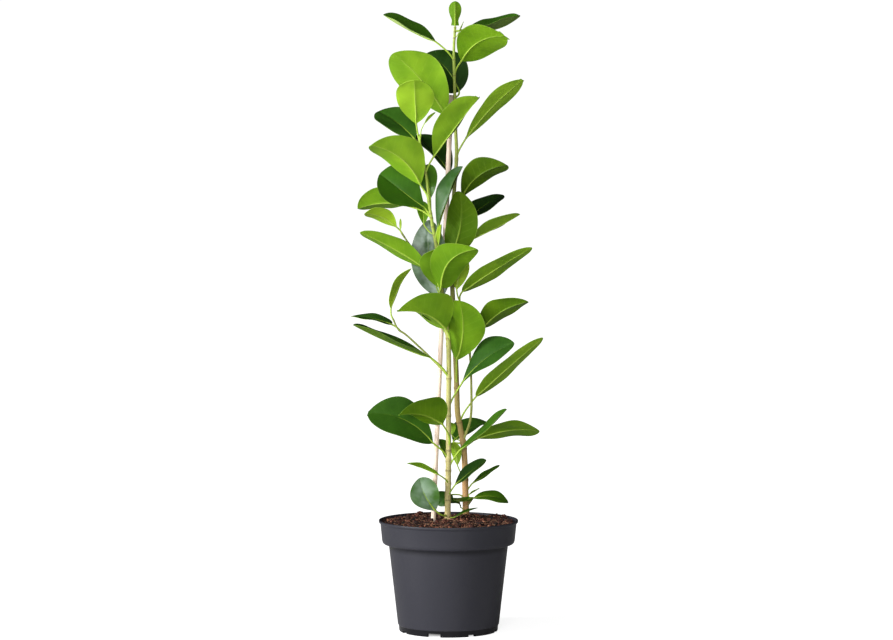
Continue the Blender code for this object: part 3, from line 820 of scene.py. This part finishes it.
def makePotMaterial(name, color, roughness):
    made, tree, shader = newMaterial(name, Specular_IOR_Level=pot["gloss"])
    cloud = noiseAt(tree, 14, 4, 0.6, (1, 1, 0.4))
    dusty = product(tree, smoothMask(tree, cloud, 0.5, 0.8), pot["dustShare"])
    shade = mixColor(tree, dusty, color, pot["dust"])
    height = objectHeight(tree)
    low, high, end = (z * mm for z in pot["shelfShade"])
    # painted shade on the wall just under the band, mixed towards the foot's dark colour
    paintedShelfShade = product(tree, smoothMask(tree, height, low, high), smoothMask(tree, height, end, high))
    shade = mixColor(tree, product(tree, paintedShelfShade, pot["shelfShare"]), shade, pot["footColor"])
    tree.links.new(shade, shader.inputs["Base Color"])
    least, most = (roughness + change for change in pot["roughSpread"])
    tree.links.new(spread(tree, cloud, least, most), shader.inputs["Roughness"])
    bump(tree, shader, noiseAt(tree, 1400, 3, 0.6), 0.00012, 0.6)
    return made


def makePotCuts():
    # the foot's notches and the drain holes, as one cutter
    cuts = bmesh.new()
    radius = pot["drainHole"] * mm
    for angle in pot["notches"]:
        turn = Matrix.Rotation(math.radians(angle), 4, "Z")
        place = turn @ Matrix.Translation((0, -pot["notchRadius"] * mm, 0))
        sides = pot["wideNotchSize"] if angle == pot["wideNotch"] else pot["notchSize"]
        size = Matrix.Diagonal((*(side * mm for side in sides), 1))
        bmesh.ops.create_cube(cuts, size=1, matrix=place @ size)
        place = turn @ Matrix.Translation((0, -pot["drainRadius"] * mm, pot["drainHeight"] * mm))
        bmesh.ops.create_cone(cuts, cap_ends=True, segments=pot["drainSides"], radius1=radius,
                              radius2=radius, depth=pot["drainDepth"] * mm, matrix=place)
    return cuts


def makePot():
    bm = profileLine(pot["inside"] + pot["outside"] + pot["underside"])
    bmesh.ops.bevel(bm, geom=list(bm.verts)[1:-1], offset=pot["bevel"] * mm, affect="VERTICES",
                    segments=pot["bevelSteps"], profile=0.5, material=-1)
    spinRound(bm, pot["steps"], pot["weld"])
    bmesh.ops.holes_fill(bm, edges=bm.edges)
    bmesh.ops.recalc_face_normals(bm, faces=bm.faces)
    body = meshObject("potShell", bm)
    cutter = meshObject("potCuts", makePotCuts())
    boolean = body.modifiers.new("Cut", "BOOLEAN")
    boolean.operation = "DIFFERENCE"
    boolean.object = cutter
    bpy.context.view_layer.update()
    cutShell = bpy.data.meshes.new_from_object(body.evaluated_get(bpy.context.evaluated_depsgraph_get()))
    bpy.data.objects.remove(body)
    bpy.data.objects.remove(cutter)
    bm = bmesh.new()
    bm.from_mesh(cutShell)
    for face in bm.faces:
        middle = face.calc_center_median() / mm
        inFoot = middle.z < pot["footHeight"] and middle.xy.length > pot["footRadius"]
        face.material_index = 1 if inFoot else 0
    materials = [
        makePotMaterial("potPlastic", pot["color"], pot["roughness"]),
        makePotMaterial("potFoot", pot["footColor"], pot["footRoughness"]),
    ]
    return finishPiece("nursery_pot", bm, materials, ["pot"], 30)


makePot()


# Soil: a rough bed with crumbs, fibres and a few surface roots

soil = {
    "level": 132.8,
    "edge": 81.2,
    "rings": 70,
    "steps": 180,
    "mounds": [  # x, y, reach, height
        (18, 40, 17, 3.6), (-34, 58, 13, 3.2), (66, 40, 9, 4.2), (-4, 10, 14, 1.5), (-52, 20, 14, 1.5),
    ],
    "lump": 1.3,
    "lumpSize": 9,
    "lumpSeed": 3.7,
    "clods": (2.4, 5.5),  # height and size
    "grains": (0.9, 1.8),
    "side": [(80.4, 129), (78.2, 110), (70.5, 104.2), (58.2, 9.2), (53.6, 6.9), (0, 6.9)],
    "sunk": 0.25,  # how far clods and grains are let down, as a share of their height
    "weld": 0.01,
    "colors": [
        (0.12, (0.005, 0.002, 0.0015)), (0.4, (0.052, 0.013, 0.008)), (0.62, (0.17, 0.047, 0.027)),
        (0.85, (0.62, 0.30, 0.17)),
    ],
    "toneShift": 0.1,
    "sharpAngle": 180,
}


def soilHeight(x, y):
    height = soil["level"]
    for moundX, moundY, reach, rise in soil["mounds"]:
        height += rise * math.exp(-((x - moundX) ** 2 + (y - moundY) ** 2) / reach**2)
    size = soil["lumpSize"]
    return height + soil["lump"] * noise.noise(Vector((x / size, y / size, soil["lumpSeed"])))


def soilRelief(x, y):
    relief = 0.0
    for rise, size in (soil["clods"], soil["grains"]):
        relief += rise * (noise.noise(Vector((x / size, y / size, size))) - soil["sunk"])
    return relief


def makeSoilMaterial():
    made, tree, shader = newMaterial("peatSoil", Roughness=0.9)
    coarse = noiseAt(tree, 330, 6, 0.7)
    tone = calc(tree, "ADD", coarse, attribute(tree, "crumbTone"))
    shade = ramp(tree, calc(tree, "SUBTRACT", tone, soil["toneShift"]), soil["colors"])
    tree.links.new(shade, shader.inputs["Base Color"])
    bump(tree, shader, noiseAt(tree, 1500, 5, 0.7), 0.0008)
    return made


def makeSoil(material):
    radii = [soil["edge"] * k / soil["rings"] for k in range(soil["rings"] + 1)]
    bm = profileLine([(r, soil["level"]) for r in radii] + soil["side"])
    spinRound(bm, soil["steps"], soil["weld"])
    for vert in bm.verts:
        if vert.co.z > (soil["level"] - 1) * mm:
            x, y = vert.co.x / mm, vert.co.y / mm
            vert.co.z = (soilHeight(x, y) + soilRelief(x, y)) * mm
    bmesh.ops.recalc_face_normals(bm, faces=bm.faces)
    return finishPiece("soil_bed", bm, [material], ["soil"], soil["sharpAngle"])


crumbs = {
    "kinds": [(2200, 0.6, 1.9, 1), (200, 1.8, 3.6, 2)],  # count, least and largest size, subdivisions
    "fromEdge": 0.5,
    "lift": (0.0, 0.5),  # shares of the size, as the two other widths are
    "flat": [(0.6, 1), (0.45, 0.9)],
    "tone": 0.3,
    "rough": 0.5,
    "roughScale": 900,
}


def makeCrumb(rng, size, detail):
    r = (soil["edge"] - size - crumbs["fromEdge"]) * math.sqrt(rng.random())
    angle = rng.uniform(0, math.tau)
    x, y = r * math.cos(angle), r * math.sin(angle)
    z = soilHeight(x, y) + soilRelief(x, y) + size * rng.uniform(*crumbs["lift"])
    turned = rng.uniform(0, math.tau)
    axis = Vector([rng.gauss(0, 1) for _ in range(3)]).normalized()
    sizes = [size] + [size * rng.uniform(*limits) for limits in crumbs["flat"]]
    shape = Matrix.Diagonal((*(side * mm for side in sizes), 1))
    middle = Vector((x * mm, y * mm, z * mm))
    crumb = bmesh.new()
    toneLayer = crumb.verts.layers.float.new("crumbTone")
    bmesh.ops.create_icosphere(crumb, subdivisions=detail, radius=1,
                               matrix=Matrix.Translation(middle) @ Matrix.Rotation(turned, 4, axis) @ shape)
    tone = rng.uniform(-crumbs["tone"], crumbs["tone"])
    for vert in crumb.verts:
        vert[toneLayer] = tone
        away = vert.co - middle
        bulge = crumbs["rough"] * noise.noise(vert.co * crumbs["roughScale"])
        vert.co = middle + away * (1 + bulge)
    return crumb


def makeCrumbs(material):
    rng = random.Random(5)
    bm = bmesh.new()
    for count, small, large, detail in crumbs["kinds"]:
        for _ in range(count):
            size = small + (large - small) * rng.random() ** 2
            mergeInto(bm, makeCrumb(rng, size, detail))
    return finishPiece("soil_crumbs", bm, [material], (), soil["sharpAngle"])


fibres = {
    "count": 330,
    "length": (3, 12),
    "width": (0.12, 0.4),
    "bend": 0.6,
    "fromEdge": 3,
    "rise": 0.5,
    "stray": (-0.2, 0.9),
    "taper": 0.15,  # from one row to the next
    "rows": 5,
    "sides": 4,
    "colors": [(0.3, (0.12, 0.045, 0.024)), (0.7, (0.46, 0.26, 0.15))],
    "rootPlaces": [  # x, y, heading, length, radius
        (-1, 14, -2.2, 15, 1.5), (-1, 14, -1.2, 13, 1.3), (-1, 14, -0.3, 11, 1.1), (-1, 14, 2.8, 12, 1.2),
        (21.5, 44.5, -1.9, 12, 1.4), (21.5, 44.5, -0.6, 13, 1.3), (21.5, 44.5, -2.8, 11, 1.2),
    ],
    "rootRows": 7,
    "rootSides": 8,
    "rootCurl": 0.5,
    "rootRise": 2.6,
    "rootDive": 0.8,
    "rootTaper": 0.7,
}


def makeFibre(rng):
    length = rng.uniform(*fibres["length"])
    r = (soil["edge"] - fibres["fromEdge"] - length / 2) * math.sqrt(rng.random())
    angle, heading = rng.uniform(0, math.tau), rng.uniform(0, math.tau)
    bend = rng.uniform(-fibres["bend"], fibres["bend"])
    x, y = r * math.cos(angle), r * math.sin(angle)
    width = rng.uniform(*fibres["width"])
    last = fibres["rows"] - 1
    rows = []
    for k in range(fibres["rows"]):
        stray = rng.uniform(*fibres["stray"]) * (0 < k < last)
        z = soilHeight(x, y) + fibres["rise"] + stray
        rows.append(Vector((x, y, z, width * (1 - fibres["taper"] * k))))
        heading += bend
        x += length / last * math.cos(heading)
        y += length / last * math.sin(heading)
    return sweepTube(rows, fibres["sides"])


def makeRoot(x, y, heading, length, width):
    rows = []
    for k in range(fibres["rootRows"]):
        t = k / (fibres["rootRows"] - 1)
        turned = heading + fibres["rootCurl"] * t
        px, py = x + math.cos(turned) * length * t, y + math.sin(turned) * length * t
        z = soilHeight(px, py) + fibres["rootRise"] * (1 - t) ** 2 - fibres["rootDive"] * t
        rows.append(Vector((px, py, z, width * (1 - fibres["rootTaper"] * t))))
    return sweepTube(rows, fibres["rootSides"])


def makeFibres():
    made, tree, shader = newMaterial("peatFibre", Roughness=0.8)
    tree.links.new(ramp(tree, noiseAt(tree, 400, 2), fibres["colors"]), shader.inputs["Base Color"])
    bump(tree, shader, noiseAt(tree, 2500, 2), 0.0002)
    rng = random.Random(11)
    bm = bmesh.new()
    for _ in range(fibres["count"]):
        mergeInto(bm, makeFibre(rng))
    for place in fibres["rootPlaces"]:
        mergeInto(bm, makeRoot(*place))
    return finishPiece("soil_fibres", bm, [made], (), soil["sharpAngle"])


peat = makeSoilMaterial()
makeSoil(peat)
makeCrumbs(peat)
makeFibres()


# Studio: floor, lights, world and camera

studio = {
    "floorSize": 60,
    "floorColor": (0.93, 0.93, 0.93),
    "floorGlow": (0.0, 0.85, 1.05),  # glow seen under the pot, beside it and far off; the missing glow under the pot is a painted shade there
    "glowReach": (0.03, 0.06, 2.5),
    "worldSeen": 1.05,
    "worldFacing": (-0.38, -0.84, -0.38),  # where the studio walls are brightest
    "worldBright": 0.8,
    "worldDim": 0.02,
    "worldReach": (-0.1, 0.9),
    "lights": [
        {"name": "keyLeft", "place": (-2.75, -1.45, 0.95), "size": 1.4, "power": 115},
        {"name": "frontGloss", "place": (-0.4, -3.6, 0.86), "size": 1.6, "power": 50},
    ],
    "lightAim": (0, 0, 0.35),
    "camera": {"place": (0, -3.3217, 0.5306), "aim": (-0.0024, 0, 0.3788), "lens": 110.38},
}


def aimAt(place, aim):
    return (Vector(aim) - Vector(place)).to_track_quat("-Z", "Y").to_euler()


def seenByCamera(tree):
    return addNode(tree, "ShaderNodeLightPath").outputs["Is Camera Ray"]


def makeFloor():
    bm = bmesh.new()
    bmesh.ops.create_grid(bm, x_segments=1, y_segments=1, size=studio["floorSize"] / 2)
    made, tree, shader = newMaterial("floorPaper", Roughness=0.8)
    shader.inputs["Base Color"].default_value = (*studio["floorColor"], 1)
    shader.inputs["Emission Color"].default_value = (1, 1, 1, 1)
    # a white floor as seen, with no light of its own on the plant
    away = addNode(tree, "ShaderNodeVectorMath", {0: objectPlace(tree)}, operation="LENGTH").outputs["Value"]
    paintedShadeGlow, near, far = studio["floorGlow"]
    inner, outer, end = studio["glowReach"]
    # the glow fades out under the pot, which paints shade on the floor beneath it
    glow = calc(tree, "ADD", spread(tree, away, paintedShadeGlow, near, inner, outer),
                spread(tree, away, 0.0, far - near, outer, end))
    tree.links.new(product(tree, glow, seenByCamera(tree)), shader.inputs["Emission Strength"])
    floor = meshObject("floor", bm)
    floor.data.materials.append(made)


def makeLights():
    for setup in studio["lights"]:
        data = bpy.data.lights.new(setup["name"], "AREA")
        data.shape = "DISK"
        data.size = setup["size"]
        data.energy = setup["power"]
        lamp = linkObject(setup["name"], data)
        lamp.location = setup["place"]
        lamp.rotation_euler = aimAt(setup["place"], studio["lightAim"])
        lamp.visible_camera = False


def makeWorld():
    world = bpy.data.worlds.new("studioWorld")
    bpy.context.scene.world = world
    world.use_nodes = True
    tree = world.node_tree
    background = tree.nodes["Background"]
    background.inputs["Color"].default_value = (1, 1, 1, 1)
    place = addNode(tree, "ShaderNodeTexCoord").outputs["Generated"]
    facing = addNode(tree, "ShaderNodeVectorMath", {0: place, 1: studio["worldFacing"]},
                     operation="DOT_PRODUCT").outputs["Value"]
    around = spread(tree, facing, studio["worldDim"], studio["worldBright"], *studio["worldReach"])
    strength = spread(tree, seenByCamera(tree), around, studio["worldSeen"])
    tree.links.new(strength, background.inputs["Strength"])


def makeCamera():
    setup = studio["camera"]
    data = bpy.data.cameras.new("camera")
    data.lens = setup["lens"]
    camera = linkObject("camera", data)
    camera.location = setup["place"]
    camera.rotation_euler = aimAt(setup["place"], setup["aim"])
    bpy.context.scene.camera = camera


makeFloor()
makeLights()
makeWorld()
makeCamera()
bpy.context.scene.view_settings.view_transform = "Standard"
print("studio ready")
